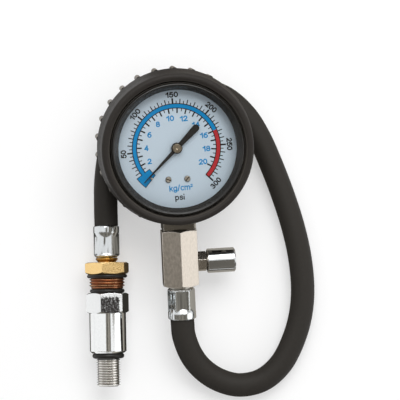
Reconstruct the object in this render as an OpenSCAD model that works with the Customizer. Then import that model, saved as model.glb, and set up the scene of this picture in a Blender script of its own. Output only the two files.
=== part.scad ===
// Compression tester gauge: a dial gauge in a rubber boot on a hex tee with a release valve,
// and a hose that loops behind the gauge to a stepped plug with a screwed-on adapter.
// Millimetres. The origin is the centre of the case's back, +Z comes out of the dial,
// +Y points to twelve o'clock, and the tee hangs along -Y.

/* [Gauge case] */
// Outer diameter of the pressed steel case
case_d = 63.8; // [58:0.1:72]
// Height of the case's rim over its back
case_h = 24; // [21:0.1:30]
// Thickness of the case's sheet
sheet_t = 0.8; // [0.6:0.1:1.4]
// Diameter of the flat pad pressed out of the case's back
pad_d = 40; // [34:0.5:41]
// Thickness of the bezel's skirt
bezel_t = 1.05; // [0.8:0.05:1.6]
// Length of the bezel's skirt below the lens
bezel_skirt = 6; // [4:0.1:8]
// Width of the bezel's sloped lip over the lens
bezel_lip = 2.9; // [2:0.1:6]
// Rise of the bezel's front over the lens
bezel_rise = 3.2; // [2:0.1:5]
// Thickness of the lens
lens_t = 1.8; // [1.2:0.1:3]

/* [Rubber boot] */
// Wall of the boot at its widest band
boot_wall = 7.1; // [6.1:0.1:9.5]
// How far the boot draws in from its widest band to its front rim
boot_taper = 1.5; // [1:0.1:2.7]
// Gap between the bezel and the boot's front lip
lip_gap = 0.55; // [0.4:0.05:1.5]
// Diameter of the opening in the boot's back
boot_back_d = 47; // [40:0.5:56]
// Thickness of the boot's back over the case
boot_back_t = 1.9; // [1:0.1:2]
// Number of grip ribs around the boot, with the ones at the socket left out
rib_count = 26; // [18:1:36]
// Diameter of a half-round grip rib
rib_d = 3; // [2:0.1:4]
// How far a rib stands out of the wall behind the widest band
rib_proud = 2.5; // [1.5:0.1:2.9]

/* [Dial and pointer] */
// Depth of the dial's face below the case's rim
dial_drop = 4.4; // [3.8:0.1:5]
// Thickness of the dial's sheet
dial_t = 0.6; // [0.4:0.1:1]
// Gap between the dial's edge and the inside of the case
dial_gap = 0.6; // [0.3:0.1:3.1]
// Distance between the two dial screws
dial_screw_gap = 9.4; // [8:0.1:11]
// Drop of the dial screws below the centre
dial_screw_drop = 15.6; // [14.8:0.1:16.4]
// Diameter of a dial screw's head
dial_screw_d = 3; // [2.4:0.1:3.6]
// Length of the pointer from its axis to its tip
pointer_l = 23.6; // [21:0.1:26]
// Length of the pointer's tail
tail_l = 15.4; // [12:0.1:17]
// Width of the pointer's tail at its round end
tail_w = 3.4; // [2.4:0.1:4]
// Width of the pointer where it leaves the hub
pointer_w = 2; // [1.4:0.1:2.6]
// Diameter of the pointer's hub
hub_d = 5.4; // [4.6:0.1:6.4]
// Diameter of the metal cap on the hub
hub_cap_d = 4.6; // [3.6:0.1:5]
// Direction in which the pointer rests, from three o'clock
pointer_rest = 224.2; // [222:0.1:226]
// Radius at which the stop pin stands on the dial
stop_r = 19.5; // [18:0.1:21]
// Diameter of the stop pin
stop_d = 1.2; // [0.8:0.1:1.4]

/* [Movement] */
// Module of the movement's teeth
tooth_m = 0.4; // [0.38:0.01:0.44]
// Teeth on the pinion
pinion_n = 10; // [10:1:12]
// Teeth that a whole sector wheel would have
sector_n = 70; // [64:1:80]
// Height from the movement's underside to the dial's face
movement_h = 6.8; // [6.4:0.1:7.6]
// Thickness of a movement plate
plate_t = 0.8; // [0.6:0.1:1]
// Width of the movement plates
plate_w = 16; // [14:0.1:17]
// Lever arm of the sector's tail
arm_l = 8; // [7.4:0.1:8.4]
// Length of the link between its pins
link_l = 8; // [7.6:0.1:8.4]
// Mean radius of the Bourdon tube
tube_r = 24; // [23.4:0.1:24.6]
// Height of the flattened tube
tube_h = 9; // [8:0.1:9.6]
// Thickness of the flattened tube
tube_t = 3; // [2.4:0.1:3.4]
// Wall of the tube
tube_wall = 0.4; // [0.3:0.05:0.6]

/* [Socket and tee] */
// Height of the socket's axis over the case's back
axis_z = 10; // [9.4:0.1:10.6]
// Width of the socket's wrench block
wrench_w = 16.4; // [15:0.1:17.2]
// Height of the socket's wrench block
wrench_h = 14.4; // [13:0.1:15]
// Diameter of the small pipe threads in the tee
pipe_d = 9.7; // [9:0.1:10.5]
// Length of the socket's wrench block outside the case
wrench_l = 8.6; // [8.4:0.1:12.8]
// Length of the tee
tee_l = 28.7; // [25:0.1:32]
// Width of the tee across its flats
tee_af = 17.5; // [16:0.1:20]
// Bore along the tee
tee_bore_d = 6.4; // [5:0.1:7]

/* [Release valve] */
// Drop of the valve's axis below the tee's top
valve_drop = 17; // [13.5:0.1:18]
// Width across the flats of the valve's hex neck
neck_af = 9.3; // [8.4:0.1:9.6]
// Length of the hex neck outside the tee
neck_l = 4.6; // [4.4:0.1:6]
// Turn of the hex neck about the valve's axis, in degrees
neck_turn = -17; // [-30:1:30]
// Diameter of the push cap
cap_d = 12.3; // [12:0.1:14]
// Length of the push cap
cap_l = 14; // [12.5:0.1:17]
// Travel of the push cap
press_travel = 3; // [2:0.1:3.4]

/* [Hose and ferrules] */
// Outer diameter of the hose
hose_d = 12; // [11:0.1:13]
// Diameter of the hose where the ferrules crimp it
crimped_d = 9.9; // [9:0.1:10.2]
// Diameter of the barbs inside the hose
barb_d = 5.8; // [5:0.1:6.4]
// Outer diameter of the plug ferrule's round ends
ferrule_d = 13.2; // [13:0.1:15]
// Outer diameter of the tee ferrule's round ends
tee_ferrule_d = 14.1; // [13:0.1:15]
// Width across the plug ferrule's crimped flats
crimp_af = 11.2; // [11:0.05:11.8]
// Length of a ferrule
ferrule_l = 15.9; // [14.5:0.1:18]

/* [Plug] */
// Turn of the plug from the tee's direction
plug_turn = 2.4; // [0:0.1:4]
// Rise of the plug's end from the plane of the dial
plug_rise = 9.4; // [0:0.1:14]
// Width of the brass hex across its flats
brass_af = 20; // [19:0.1:21]
// Height of the brass hex
brass_hex_l = 6.1; // [5.5:0.1:8]
// Major diameter of the large thread
large_thread_d = 18; // [18:0.01:18.2]
// Pitch of the large thread
large_pitch = 1.5; // [1.4:0.05:1.6]
// Length of the large thread
large_thread_l = 5.5; // [5:0.1:7]
// Diameter of the nose that the adapter screws on
nose_d = 13.8; // [13.6:0.05:13.9]
// Length of that nose from the large thread's end
nose_l = 13.8; // [13:0.1:14.4]
// Thickness of the two O-rings on the brass fitting
ring_t = 1.86; // [1.6:0.02:2.1]

/* [Adapter] */
// Width of the adapter's hex across its flats
adapter_af = 19; // [18.6:0.1:20]
// Height of the adapter's hex
adapter_hex_l = 10.4; // [9:0.1:12]
// Diameter of the adapter's round body
adapter_d = 18.5; // [17.5:0.1:19]
// Length of the adapter's round body
adapter_body_l = 20; // [18:0.1:24]
// Major diameter of the spark plug thread
plug_thread_d = 12; // [12:0.01:12.1]
// Pitch of the spark plug thread
plug_pitch = 1.25; // [1.2:0.05:1.3]
// Length of the spark plug thread
plug_thread_l = 14; // [13:0.1:16]
// Thickness of the adapter's O-ring
adapter_ring_t = 2.75; // [2.4:0.05:3]
// Bore of the adapter's thread
adapter_bore_d = 5; // [4:0.1:6]

/* [Hidden] */
$fn = 96;
// Running clearance of pins and guides, and of seats
run = 0.05;
seat = 0.1;
case_r = case_d / 2;
pad_h = 0.4;
boot_seat = pad_h - seat;
bezel_in = case_r + seat;
bezel_r = bezel_in + bezel_t;
lens_z = case_h + seat;
lens_top = lens_z + lens_t;
window_r = bezel_in - bezel_lip;
boot_r = case_r + boot_wall;
rim_r = boot_r - boot_taper;
lip_r = bezel_r + lip_gap;
lip_round = (rim_r - lip_r) / 2;
boot_front = lens_top + 1.7;
shoulder_r = boot_r - 0.7 * boot_taper;
band_z = 13;
boot_wall_r = boot_r - 2.1;
rib_r = boot_wall_r + rib_proud - rib_d / 2;
rib_turn = -92;
rib_foot = -0.2;
dial_z = case_h - dial_drop;
dial_r = case_r - sheet_t - dial_gap;
dial_back = dial_z - dial_t;
upper_z = dial_back - 0.9 - plate_t;
lower_z = dial_z - movement_h;
plate_head = 5;
lower_plate_end = 24;
upper_plate_end = 20.4;
pinion_r = tooth_m * pinion_n / 2;
sector_r = tooth_m * sector_n / 2;
pivot_d = pinion_r + sector_r;
pivot_a = -60;
pivot = [pivot_d * cos(pivot_a), pivot_d * sin(pivot_a)];
sweep = 268.4;
swing = sweep * pinion_n / sector_n;
arm_mid = -30;
arm_a = arm_mid - swing / 2;
arm_pin = pivot + arm_l * [cos(arm_a), sin(arm_a)];
tip_pin = arm_pin + link_l * [cos(arm_mid + 90), sin(arm_mid + 90)];
tip_a = atan2(tip_pin[1], tip_pin[0]);
tube_z = lower_z - tube_h / 2 - seat;
tube_end = tip_a + 4;
tube_start = 262;
link_z = lower_z + plate_t + 0.5;
sector_z = link_z + 1.1;
// The block inside the case carries tube and movement, and its round stem goes out through the case
block_w = 12;
block_in = 19.6;
block_out = case_r - sheet_t - 1.1;
stem_r = 6.6;
wrench_y = case_r + 1.3;
pressure_r = 1.5;
movement_screw_x = [-1.6, 4.4];
movement_screw_y = -22.3;
tee_top = wrench_y + wrench_l;
tee_end = tee_top + tee_l;
port_r = 4;
nipple_in = tee_l - valve_drop - port_r - 0.6;
nipple_bore_r = 1.7;
valve_y = -tee_top - valve_drop;
neck_x = tee_af / 2 + neck_l;
cap_x = neck_x + 0.4;
cap_end = cap_x + cap_l;
cap_bore_r = neck_af / sqrt(3) + 0.2;
boss_x = neck_x + 3.4;
boss_r = 4.1;
pin_r = 1;
seat_x = 3.6;
barb_r = barb_d / 2;
hose_r = hose_d / 2;
ferrule_gap = 0.9;
ferrule_y = -tee_end - ferrule_gap;
// The plug is laid along its own axis, from the ferrule's mouth to the thread's end
plug_at = [-35.3, -40.34, -4.4];
plug_way = [-sin(plug_turn) * cos(plug_rise), -cos(plug_turn) * cos(plug_rise), sin(plug_rise)];
neck_s = ferrule_l + seat;
brass_s = neck_s + 2.3;
ring_s = brass_s + brass_hex_l;
large_s = ring_s + ring_t;
nose_s = large_s + large_thread_l;
adapter_s = nose_s + ring_t + 0.05;
nose_end = nose_s + nose_l;
body_s = adapter_s + adapter_hex_l;
shoulder_s = body_s + adapter_body_l;
thread_s = shoulder_s + adapter_ring_t + 0.05;
thread_end = thread_s + plug_thread_l;
core_s = nose_end - 13;
core_r = 2.5;
// Turns of the crimp and the hexes on the plug, so that an edge of each hex faces the front's left
crimp_turn = 7;
brass_turn = 106;
adapter_turn = 111;
// Hose route, chosen by hand: from the tee's ferrule round the loop, behind the gauge, to the plug.
// The loop and the plug lie in one plane, from which the gauge leans back.
route = [
  [0, -90, 10], [0.5, -96.9, 9.9], [3.7, -106.4, 9], [9.3, -114.5, 8], [17.7, -120.8, 7.9],
  [28.1, -123.8, 8.8], [39.8, -121.7, 9], [49.6, -113.8, 9], [56.6, -101.7, 8.1],
  [60.8, -89.1, 6.9], [62.5, -75.6, 5.4], [61.8, -60.2, 3.3], [59.2, -44.7, 1], [55.1, -29.1, -1.4],
  [50.4, -14.5, -3.8], [44.8, 0.2, -6.2], [38.1, 12, -8.4], [28.3, 21.3, -10.6], [15, 26.5, -12.6],
  [1, 27.5, -14.2], [-11, 25, -15], [-20.5, 18.5, -15.2], [-27.5, 8.5, -14.6], [-31.7, -5.5, -12.6],
  [-34.1, -18.3, -9.5], [-34.9, -29.3, -6.6]
];

function unit(v) = v / norm(v);
function polar(r, a) = [r * cos(a), r * sin(a)];

// Outline of a wheel: each tooth has two root points and two narrower tip points
function teeth(r, n, first, count) = [
  for (i = [0:count - 1], k = [0:3])
    polar(r + (k == 0 || k == 3 ? -1.15 : 0.72) * tooth_m,
          first + (i + (k == 0 ? -0.3 : k == 1 ? -0.1 : k == 2 ? 0.1 : 0.3)) * 360 / n)
];

// Smooth curve through the points of a route
function curve(p, i, t) =
  let (a = p[max(i - 1, 0)], b = p[i], c = p[i + 1], d = p[min(i + 2, len(p) - 1)])
  0.5 * (2 * b + (c - a) * t + (2 * a - 5 * b + 4 * c - d) * t * t
         + (3 * b - a - 3 * c + d) * t * t * t);

// Saw-tooth outline of a thread from its core to its crests, with a flat on every crest
function thread_side(core, crest, pitch, length) = [
  for (i = [0:floor(length / pitch) - 1], k = [0:3])
    [k == 0 || k == 3 ? core : crest, (i + (k == 0 ? 0.06 : k == 1 ? 0.44 : k == 2 ? 0.56 : 0.94)) * pitch]
];

// Places its children along the plug, with their +Z from the hose to the thread's end
module along_plug() {
  translate(plug_at) rotate([90 - plug_rise, 0, -plug_turn]) children();
}

// Places its children on the release valve's axis, with their +Z along +X
module along_valve() {
  translate([0, valve_y, axis_z]) rotate([0, 90, 0]) children();
}

// Places its children on the tee's axis, with their +Z along -Y from the dial's centre
module along_tee() {
  translate([0, 0, axis_z]) rotate([90, 0, 0]) children();
}

// Hexagon with its corners turned off at both ends over the given heights
module turned_hex(af, h, turn, low, high) {
  corner = af / sqrt(3);
  face_r = af / 2 - 0.45;
  // The turning cones run on past the corners, so that they cut them cleanly
  past = 1 + 1 / (corner - face_r);
  intersection() {
    rotate(turn) cylinder(r = corner, h = h, $fn = 6);
    rotate_extrude() polygon([
      [0, 0], [face_r, 0], [corner + 1, low * past], [corner + 1, h - high * past], [face_r, h], [0, h]
    ]);
  }
}

// Threaded stub with a plain neck below z = 0 and a lead-in at its far end
module thread_stub(d, pitch, length, neck) {
  core = d / 2 - 0.6134 * pitch;
  used = floor(length / pitch) * pitch;
  rotate_extrude() polygon(concat(
    [[0, -neck], [core, -neck]], thread_side(core, d / 2, pitch, length),
    [[core, used], [core, length - 0.4], [core - 0.4, length], [0, length]]
  ));
}

// Flattened tube section, filled or as the bore
module tube_section(inset) {
  t = tube_t / 2 - inset;
  h = tube_h / 2 - inset;
  translate([tube_r, tube_z]) union() {
    square([2 * t, 2 * (h - t)], center = true);
    translate([0, h - t]) circle(t, $fn = 32);
    translate([0, t - h]) circle(t, $fn = 32);
  }
}

// Sleeve crimped to six flats between two round ends, mouth at z = 0, shoulder at the far end
module ferrule(d, turn) {
  crimped_r = crimped_d / 2 + run;
  r = d / 2;
  af = crimp_af + d - ferrule_d;
  difference() {
    intersection() {
      rotate_extrude() polygon([
        [0, 0], [r - 0.35, 0], [r, 0.35], [r, ferrule_l - 1.9],
        [r - 0.35, ferrule_l - 0.9], [r - 1.3, ferrule_l], [0, ferrule_l]
      ]);
      union() {
        cylinder(r = r + 1, h = 3.2);
        translate([0, 0, 3]) rotate(turn) cylinder(r = af / sqrt(3), h = ferrule_l, $fn = 6);
        translate([0, 0, 3.15]) cylinder(r1 = r + 0.1, r2 = af / 2 - 0.1, h = 2.6);
        translate([0, 0, ferrule_l - 1.8]) cylinder(r1 = af / 2 - 0.1, r2 = r, h = 1.2);
        translate([0, 0, ferrule_l - 0.62]) cylinder(r = r, h = 2);
      }
    }
    translate([0, 0, -1]) cylinder(r = crimped_r, h = ferrule_l - 0.6);
    translate([0, 0, -0.01]) cylinder(r1 = hose_r + run, r2 = crimped_r, h = 2.6);
    translate([0, 0, -1]) cylinder(r = barb_r + run, h = ferrule_l + 2);
  }
}

// O-ring of a round section around its axis
module o_ring(inner_r, t) {
  rotate_extrude() translate([inner_r + t / 2, t / 2]) circle(t / 2, $fn = 32);
}

// Coil spring of a round wire, wound from end to end
module coils(r, wire, turns, length) {
  sides = 8;
  steps = 20 * turns;
  rise = length - wire;
  lean = atan2(rise / turns, 2 * PI * r);
  points = [
    for (i = [0:steps], k = [0:sides - 1])
      let (a = 360 * turns * i / steps, b = 360 * k / sides)
      let (out = wire / 2 * cos(b), up = wire / 2 * sin(b))
      [(r + out) * cos(a) + up * sin(lean) * sin(a), (r + out) * sin(a) - up * sin(lean) * cos(a),
       wire / 2 + rise * i / steps + up * cos(lean)]
  ];
  sheath = [
    for (i = [0:steps - 1], k = [0:sides - 1], h = [0, 1])
      let (a = i * sides + k, b = i * sides + (k + 1) % sides)
      h == 0 ? [a, b, a + sides] : [b, b + sides, a + sides]
  ];
  caps = [[for (k = [sides - 1:-1:0]) k], [for (k = [0:sides - 1]) steps * sides + k]];
  polyhedron(points, concat(sheath, caps));
}

// Moulded rubber boot with a rounded front lip and half-round grip ribs at the back
module rubber_boot() {
  color("#262523") difference() {
    union() {
      rotate_extrude() difference() {
        union() {
          polygon([
            [boot_back_d / 2, boot_seat], [boot_back_d / 2, boot_seat - boot_back_t],
            [boot_wall_r - 1.4, boot_seat - boot_back_t], [boot_wall_r, 0.2], [boot_wall_r, band_z],
            [boot_r, band_z + 0.8], [boot_r, band_z + 2], [shoulder_r, boot_front - 5.6],
            [rim_r, boot_front], [lip_r, boot_front],
            [lip_r, boot_front - 2], [case_r, boot_front - 2], [case_r, boot_seat]
          ]);
          translate([lip_r + lip_round, boot_front]) circle(lip_round);
        }
        polygon([
          [0, boot_seat], [case_r + 0.2, boot_seat], [case_r + 0.2, case_h - bezel_skirt - 0.4],
          [bezel_r + 0.3, case_h - bezel_skirt - 0.4], [bezel_r + 0.3, boot_front + 4], [0, boot_front + 4]
        ]);
      }
      for (i = [2:rib_count - 2])
        rotate(rib_turn + i * 360 / rib_count) translate([rib_r, 0, rib_foot])
          cylinder(r = rib_d / 2, h = band_z + 0.7 - rib_foot, $fn = 24);
    }
    translate([0, -case_r - 5, axis_z])
      cube([wrench_w + 0.8, 16, wrench_h + 0.8], center = true);
  }
}

// Pressed steel cup with a flat pad on its back and a round opening for the socket
module gauge_case() {
  // Outline of the cup's skin, moved inwards by the sheet's thickness for the inside
  function skin(t) = [
    [0, t], [pad_d / 2 - t / 2, t], [pad_d / 2 + pad_h - t / 2, pad_h + t],
    [case_r - 1.2 - t / 2, pad_h + t], [case_r - t, pad_h + 1.2 + t / 2]
  ];
  color("#3a3a3a") difference() {
    rotate_extrude() difference() {
      polygon(concat(skin(0), [[case_r, case_h], [0, case_h]]));
      polygon(concat(skin(sheet_t), [[case_r - sheet_t, case_h + 1], [0, case_h + 1]]));
    }
    translate([0, -case_r + 6, axis_z]) rotate([90, 0, 0]) cylinder(r = stem_r + 0.2, h = 12);
  }
}

// Rolled black bezel with a rounded front edge and a sloped inner wall over the lens
module bezel_ring() {
  front = lens_top + bezel_rise;
  edge = bezel_r - 0.6;
  color("#2b2a28") rotate_extrude() union() {
    polygon([
      [bezel_in, case_h - bezel_skirt], [bezel_r, case_h - bezel_skirt], [bezel_r, front - 2.2],
      [edge, front - 0.6], [edge - 0.6, front - 0.1], [window_r + 2, front - 0.5],
      [window_r, lens_top + seat], [bezel_in, lens_top + seat]
    ]);
    translate([edge - 0.6, front - 0.6]) circle(0.6, $fn = 32);
  }
}

// Clear lens, held between the case's rim and the bezel
module lens() {
  color("#dfe8ee", 0.35) translate([0, 0, lens_z]) cylinder(r = case_r - seat, h = lens_t);
}

// Painted dial with holes for the pointer's arbor, its screws and the stop pin
module dial_plate() {
  color("#b4c6d2") difference() {
    translate([0, 0, dial_back]) cylinder(r = dial_r, h = dial_t);
    translate([0, 0, dial_back - 1]) cylinder(r = 1.6, h = 3, $fn = 32);
    for (s = [-1, 1])
      translate([s * dial_screw_gap / 2, -dial_screw_drop, dial_back - 1])
        cylinder(r = 0.95, h = 3, $fn = 24);
    rotate(pointer_rest + 3.6) translate([stop_r, 0, dial_back - 1])
      cylinder(r = stop_d / 2, h = 3, $fn = 24);
  }
}

// Two slotted screws that hold the dial on the movement
module dial_screws() {
  color("#8d8a84") for (s = [-1, 1])
    translate([s * dial_screw_gap / 2, -dial_screw_drop, 0]) difference() {
      union() {
        translate([0, 0, upper_z + 0.1]) cylinder(r = 0.85, h = dial_z - upper_z, $fn = 24);
        translate([0, 0, dial_z]) rotate_extrude($fn = 32) polygon([
          [0, 0], [dial_screw_d / 2, 0], [dial_screw_d / 2, 0.5], [dial_screw_d / 2 - 0.35, 0.85], [0, 0.85]
        ]);
      }
      translate([0, 0, dial_z + 0.9]) rotate(s * 35 + 15)
        cube([dial_screw_d + 1, 0.45, 0.9], center = true);
    }
}

// Pin on which the pointer rests at no pressure
module stop_pin() {
  color("#a9a59c") rotate(pointer_rest + 3.6) translate([stop_r, 0, dial_back])
    rotate_extrude($fn = 24) polygon([
      [0, 0], [stop_d / 2, 0], [stop_d / 2, 2.9], [stop_d / 2 - 0.25, 3.15], [0, 3.15]
    ]);
}

// Stamped pointer with a fine tip, a wide round tail and a hub
module pointer() {
  color("#232220") translate([0, 0, dial_z + 1.5]) rotate(pointer_rest) difference() {
    union() {
      linear_extrude(0.7) {
        polygon([[0, -pointer_w / 2], [pointer_l, -0.16], [pointer_l, 0.16], [0, pointer_w / 2]]);
        polygon([
          [0, -tail_w / 2 + 0.7], [0, tail_w / 2 - 0.7],
          [tail_w / 2 - tail_l, tail_w / 2], [tail_w / 2 - tail_l, -tail_w / 2]
        ]);
        translate([tail_w / 2 - tail_l, 0]) circle(tail_w / 2, $fn = 32);
      }
      translate([0, 0, -0.6]) cylinder(r = hub_d / 2, h = 1.9, $fn = 48);
    }
    translate([0, 0, -2]) cylinder(r = 0.6 + 0.01, h = 6, $fn = 24);
  }
}

// Turned metal cap pressed on the hub
module pointer_cap() {
  top = dial_z + 2.8;
  color("#b3ab9d") translate([0, 0, top]) difference() {
    rotate_extrude($fn = 48) polygon([
      [0, 0], [hub_cap_d / 2, 0], [hub_cap_d / 2, 0.5], [hub_cap_d / 2 - 0.3, 0.8], [0, 0.8]
    ]);
    translate([0, 0, 0.6]) cylinder(r1 = 0.1, r2 = 0.7, h = 0.3, $fn = 24);
  }
}

// Toothed arbor that carries the pointer and turns in both plates
module pinion() {
  color("#c9a04e") union() {
    translate([0, 0, lower_z + 0.2]) cylinder(r = 0.6, h = dial_z + 2.7 - lower_z - 0.2, $fn = 24);
    translate([0, 0, sector_z - 0.5]) rotate(pivot_a) linear_extrude(1.8)
      polygon(teeth(pinion_r, pinion_n, 180 / pinion_n, pinion_n));
    translate([0, 0, lower_z + plate_t + 0.25]) cylinder(r = 1.3, h = 0.7, $fn = 24);
    translate([0, 0, sector_z + 1.2]) cylinder(r = 1.2, h = upper_z - sector_z - 1.4, $fn = 24);
  }
}

// Toothed sector on its own arbor, with a tail that the link pulls
module sector_gear() {
  first = 180 + pivot_a - floor(swing * sector_n / 360 + 2) * 360 / sector_n;
  count = floor(swing * sector_n / 360) + 5;
  color("#c9a04e") translate([pivot[0], pivot[1], 0]) union() {
    translate([0, 0, sector_z]) linear_extrude(0.8) difference() {
      union() {
        polygon(concat([[0, 0]], teeth(sector_r, sector_n, first, count)));
        circle(2.2, $fn = 32);
        rotate(arm_a) translate([0, -1.1]) square([arm_l, 2.2]);
        rotate(arm_a) translate([arm_l, 0]) circle(1.1, $fn = 24);
      }
      intersection() {
        difference() {
          circle(sector_r - 2.4);
          circle(3.6, $fn = 32);
        }
        polygon([[0, 0], polar(30, first + 7), polar(30, first + 20)]);
      }
      intersection() {
        difference() {
          circle(sector_r - 2.4);
          circle(3.6, $fn = 32);
        }
        polygon([[0, 0], polar(30, first + 29), polar(30, first + 42)]);
      }
    }
    translate([0, 0, lower_z + 0.2]) cylinder(r = 0.7, h = upper_z + plate_t - lower_z - 0.3, $fn = 24);
    translate([0, 0, link_z - 0.2]) cylinder(r = 1.4, h = upper_z - link_z, $fn = 24);
    rotate(arm_a) translate([arm_l, 0, link_z - 0.2])
      cylinder(r = 0.5, h = sector_z - link_z + 0.4, $fn = 24);
  }
}

// Flat bar from the sector's tail to the tip of the tube
module link() {
  color("#b8b0a2") translate([arm_pin[0], arm_pin[1], link_z]) rotate(arm_mid + 90)
    linear_extrude(0.7) difference() {
      union() {
        circle(1.1, $fn = 24);
        translate([0, -0.8]) square([link_l, 1.6]);
        translate([link_l, 0]) circle(1.7, $fn = 32);
      }
      circle(0.5 + run, $fn = 24);
      translate([link_l, 0]) circle(1.05, $fn = 32);
    }
}

// End piece soldered on the tube's tip, with a lug and pin for the link
module tube_tip() {
  color("#c9a04e") difference() {
    union() {
      rotate(tip_a - 4) rotate_extrude(angle = 11)
        translate([tube_r - tube_t / 2 - 0.8, tube_z - tube_h / 2 - 0.7])
          square([tube_t + 1.6, tube_h + 1.4]);
      translate([0, 0, link_z - 2.4]) linear_extrude(1.6) {
        translate(tip_pin) circle(1.6, $fn = 32);
        rotate(tip_a) translate([norm(tip_pin), -1.6]) square([tube_r - norm(tip_pin), 3.2]);
      }
      translate([tip_pin[0], tip_pin[1], link_z - 1]) cylinder(r = 0.5, h = 2, $fn = 24);
    }
    rotate(tube_end) rotate_extrude(angle = 8) tube_section(-run);
  }
}

// Flattened C-shaped tube that straightens under pressure
module bourdon_tube() {
  color("#c08f45") rotate(tube_end + 0.2)
    rotate_extrude(angle = tube_start - tube_end - 0.2, $fn = 128) difference() {
      tube_section(0);
      tube_section(tube_wall);
    }
}

// Flat spiral spring that takes up the play of the teeth
module hairspring() {
  turns = 3.5;
  function spiral(a, side) = polar(1.43 + 2.84 * a / (turns * 360) + side * 0.11, a);
  color("#7f8a96") translate([0, 0, lower_z + plate_t + 0.35]) linear_extrude(0.5) polygon(concat(
    [for (a = [0:15:turns * 360]) spiral(a, 1)],
    [for (a = [turns * 360:-15:0]) spiral(a, -1)]
  ));
}

// Lower movement plate, on top of the socket
module lower_plate() {
  color("#c9a04e") translate([0, 0, lower_z]) linear_extrude(plate_t) difference() {
    union() {
      translate([-plate_w / 2, -lower_plate_end]) square([plate_w, lower_plate_end + plate_head]);
      translate(pivot) circle(3, $fn = 48);
    }
    circle(0.6 + run, $fn = 24);
    translate(pivot) circle(0.7 + run, $fn = 24);
    for (x = movement_screw_x) translate([x, movement_screw_y]) circle(0.95, $fn = 24);
  }
}

// Upper movement plate with two bosses that carry the dial
module upper_plate() {
  color("#c9a04e") difference() {
    union() {
      translate([0, 0, upper_z]) linear_extrude(plate_t) union() {
        translate([-plate_w / 2, -upper_plate_end]) square([plate_w, upper_plate_end + plate_head]);
        translate(pivot) circle(3, $fn = 48);
      }
      for (s = [-1, 1])
        translate([s * dial_screw_gap / 2, -dial_screw_drop, upper_z])
          cylinder(r = 1.8, h = dial_back - upper_z, $fn = 32);
    }
    translate([0, 0, upper_z - 1]) cylinder(r = 0.6 + run, h = 4, $fn = 24);
    translate([pivot[0], pivot[1], upper_z - 1]) cylinder(r = 0.7 + run, h = 4, $fn = 24);
    for (s = [-1, 1])
      translate([s * dial_screw_gap / 2, -dial_screw_drop, upper_z - 1]) cylinder(r = 0.9, h = 4, $fn = 24);
  }
}

// Three pillars between the plates, and the stud that holds the hairspring's outer end
module plate_pillars() {
  low = lower_z + plate_t;
  color("#b99248") union() {
    for (p = [[-6, 3.2], [-6.2, -18], [3.2, -18.6]])
      translate([p[0], p[1], low]) cylinder(r = 1.2, h = upper_z - low, $fn = 32);
    rotate(180) translate([4.85, 0, low]) cylinder(r = 0.45, h = 1.2, $fn = 24);
  }
}

// Two screws that hold the movement on the socket
module movement_screws() {
  color("#8d8a84") for (x = movement_screw_x)
    translate([x, movement_screw_y, 0]) difference() {
      union() {
        translate([0, 0, lower_z - 4]) cylinder(r = 0.85, h = 4 + plate_t, $fn = 24);
        translate([0, 0, lower_z + plate_t]) cylinder(r = 1.6, h = 1, $fn = 32);
      }
      translate([0, 0, lower_z + plate_t + 1]) cube([4, 0.4, 0.9], center = true);
    }
}

// Brass socket: a block that holds tube and movement, a wrench block and a threaded stem
module socket() {
  color("#8f8b84") difference() {
    union() {
      translate([-block_w / 2, -block_out, 3]) cube([block_w, block_out - block_in, lower_z - 3]);
      along_tee() translate([0, 0, block_out - 0.5]) cylinder(r = stem_r, h = wrench_y - block_out + 1.8);
      translate([-wrench_w / 2, -tee_top + seat, axis_z - wrench_h / 2])
        cube([wrench_w, wrench_l - seat, wrench_h]);
      along_tee() translate([0, 0, tee_top - 1]) cylinder(r = pipe_d / 2, h = 10);
    }
    rotate(tube_start - 8) rotate_extrude(angle = 8.2) tube_section(-run);
    // The pressure bore meets the tube's end through a cross hole
    along_tee() translate([0, 0, tube_r]) cylinder(r = pressure_r, h = tee_top, $fn = 32);
    translate([-block_w / 4 - 1, -tube_r - 0.6, axis_z]) rotate([0, 90, 0])
      cylinder(r = 0.7, h = block_w / 4 + 1, $fn = 24);
    for (x = movement_screw_x)
      translate([x, movement_screw_y, lower_z - 4.2]) cylinder(r = 0.87, h = 6, $fn = 24);
  }
}

// Hex tee bar, one edge towards the front, with a port for the release valve
module tee_body() {
  color("#b9b4aa") difference() {
    along_tee() translate([0, 0, tee_top]) turned_hex(tee_af, tee_l, 90, 0.75, 0.75);
    along_tee() translate([0, 0, tee_top - 1]) cylinder(r = tee_bore_d / 2, h = tee_l + 2);
    along_tee() translate([0, 0, tee_top - 1]) cylinder(r = pipe_d / 2 + run, h = 10.6);
    along_tee() translate([0, 0, tee_end - nipple_in - 0.2]) cylinder(r = pipe_d / 2 + run, h = tee_l);
    along_valve() translate([0, 0, -2.2]) cylinder(r = 2.9, h = 12, $fn = 48);
    along_valve() translate([0, 0, seat_x - 0.1]) cylinder(r = port_r + run, h = 12, $fn = 48);
  }
}

// Valve body: a threaded seat in the tee, a hex neck and a boss that guides the cap
module valve_body() {
  color("#c9cac9") along_valve() difference() {
    union() {
      translate([0, 0, seat_x]) cylinder(r = port_r, h = tee_af / 2 - seat_x + 0.2, $fn = 48);
      translate([0, 0, tee_af / 2 + seat]) turned_hex(neck_af, neck_l - seat, neck_turn, 0.3, 0.5);
      translate([0, 0, neck_x - 0.1]) cylinder(r = boss_r, h = boss_x - neck_x + 0.1, $fn = 48);
    }
    translate([0, 0, seat_x - 1]) cylinder(r = pin_r + run, h = boss_x, $fn = 32);
  }
}

// Coil spring that pushes the cap out
module valve_spring() {
  color("#a8a9a8") along_valve() translate([0, 0, boss_x + 0.05])
    coils(2.3, 0.7, 5, cap_end - 1.6 - boss_x - 0.1);
}

// Pin from the cap through the valve body to the seal
module valve_pin() {
  color("#c4c2bc") along_valve() translate([0, 0, seat_x - 1.25])
    cylinder(r = pin_r, h = cap_end - 0.8 - seat_x + 1.25, $fn = 32);
}

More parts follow.
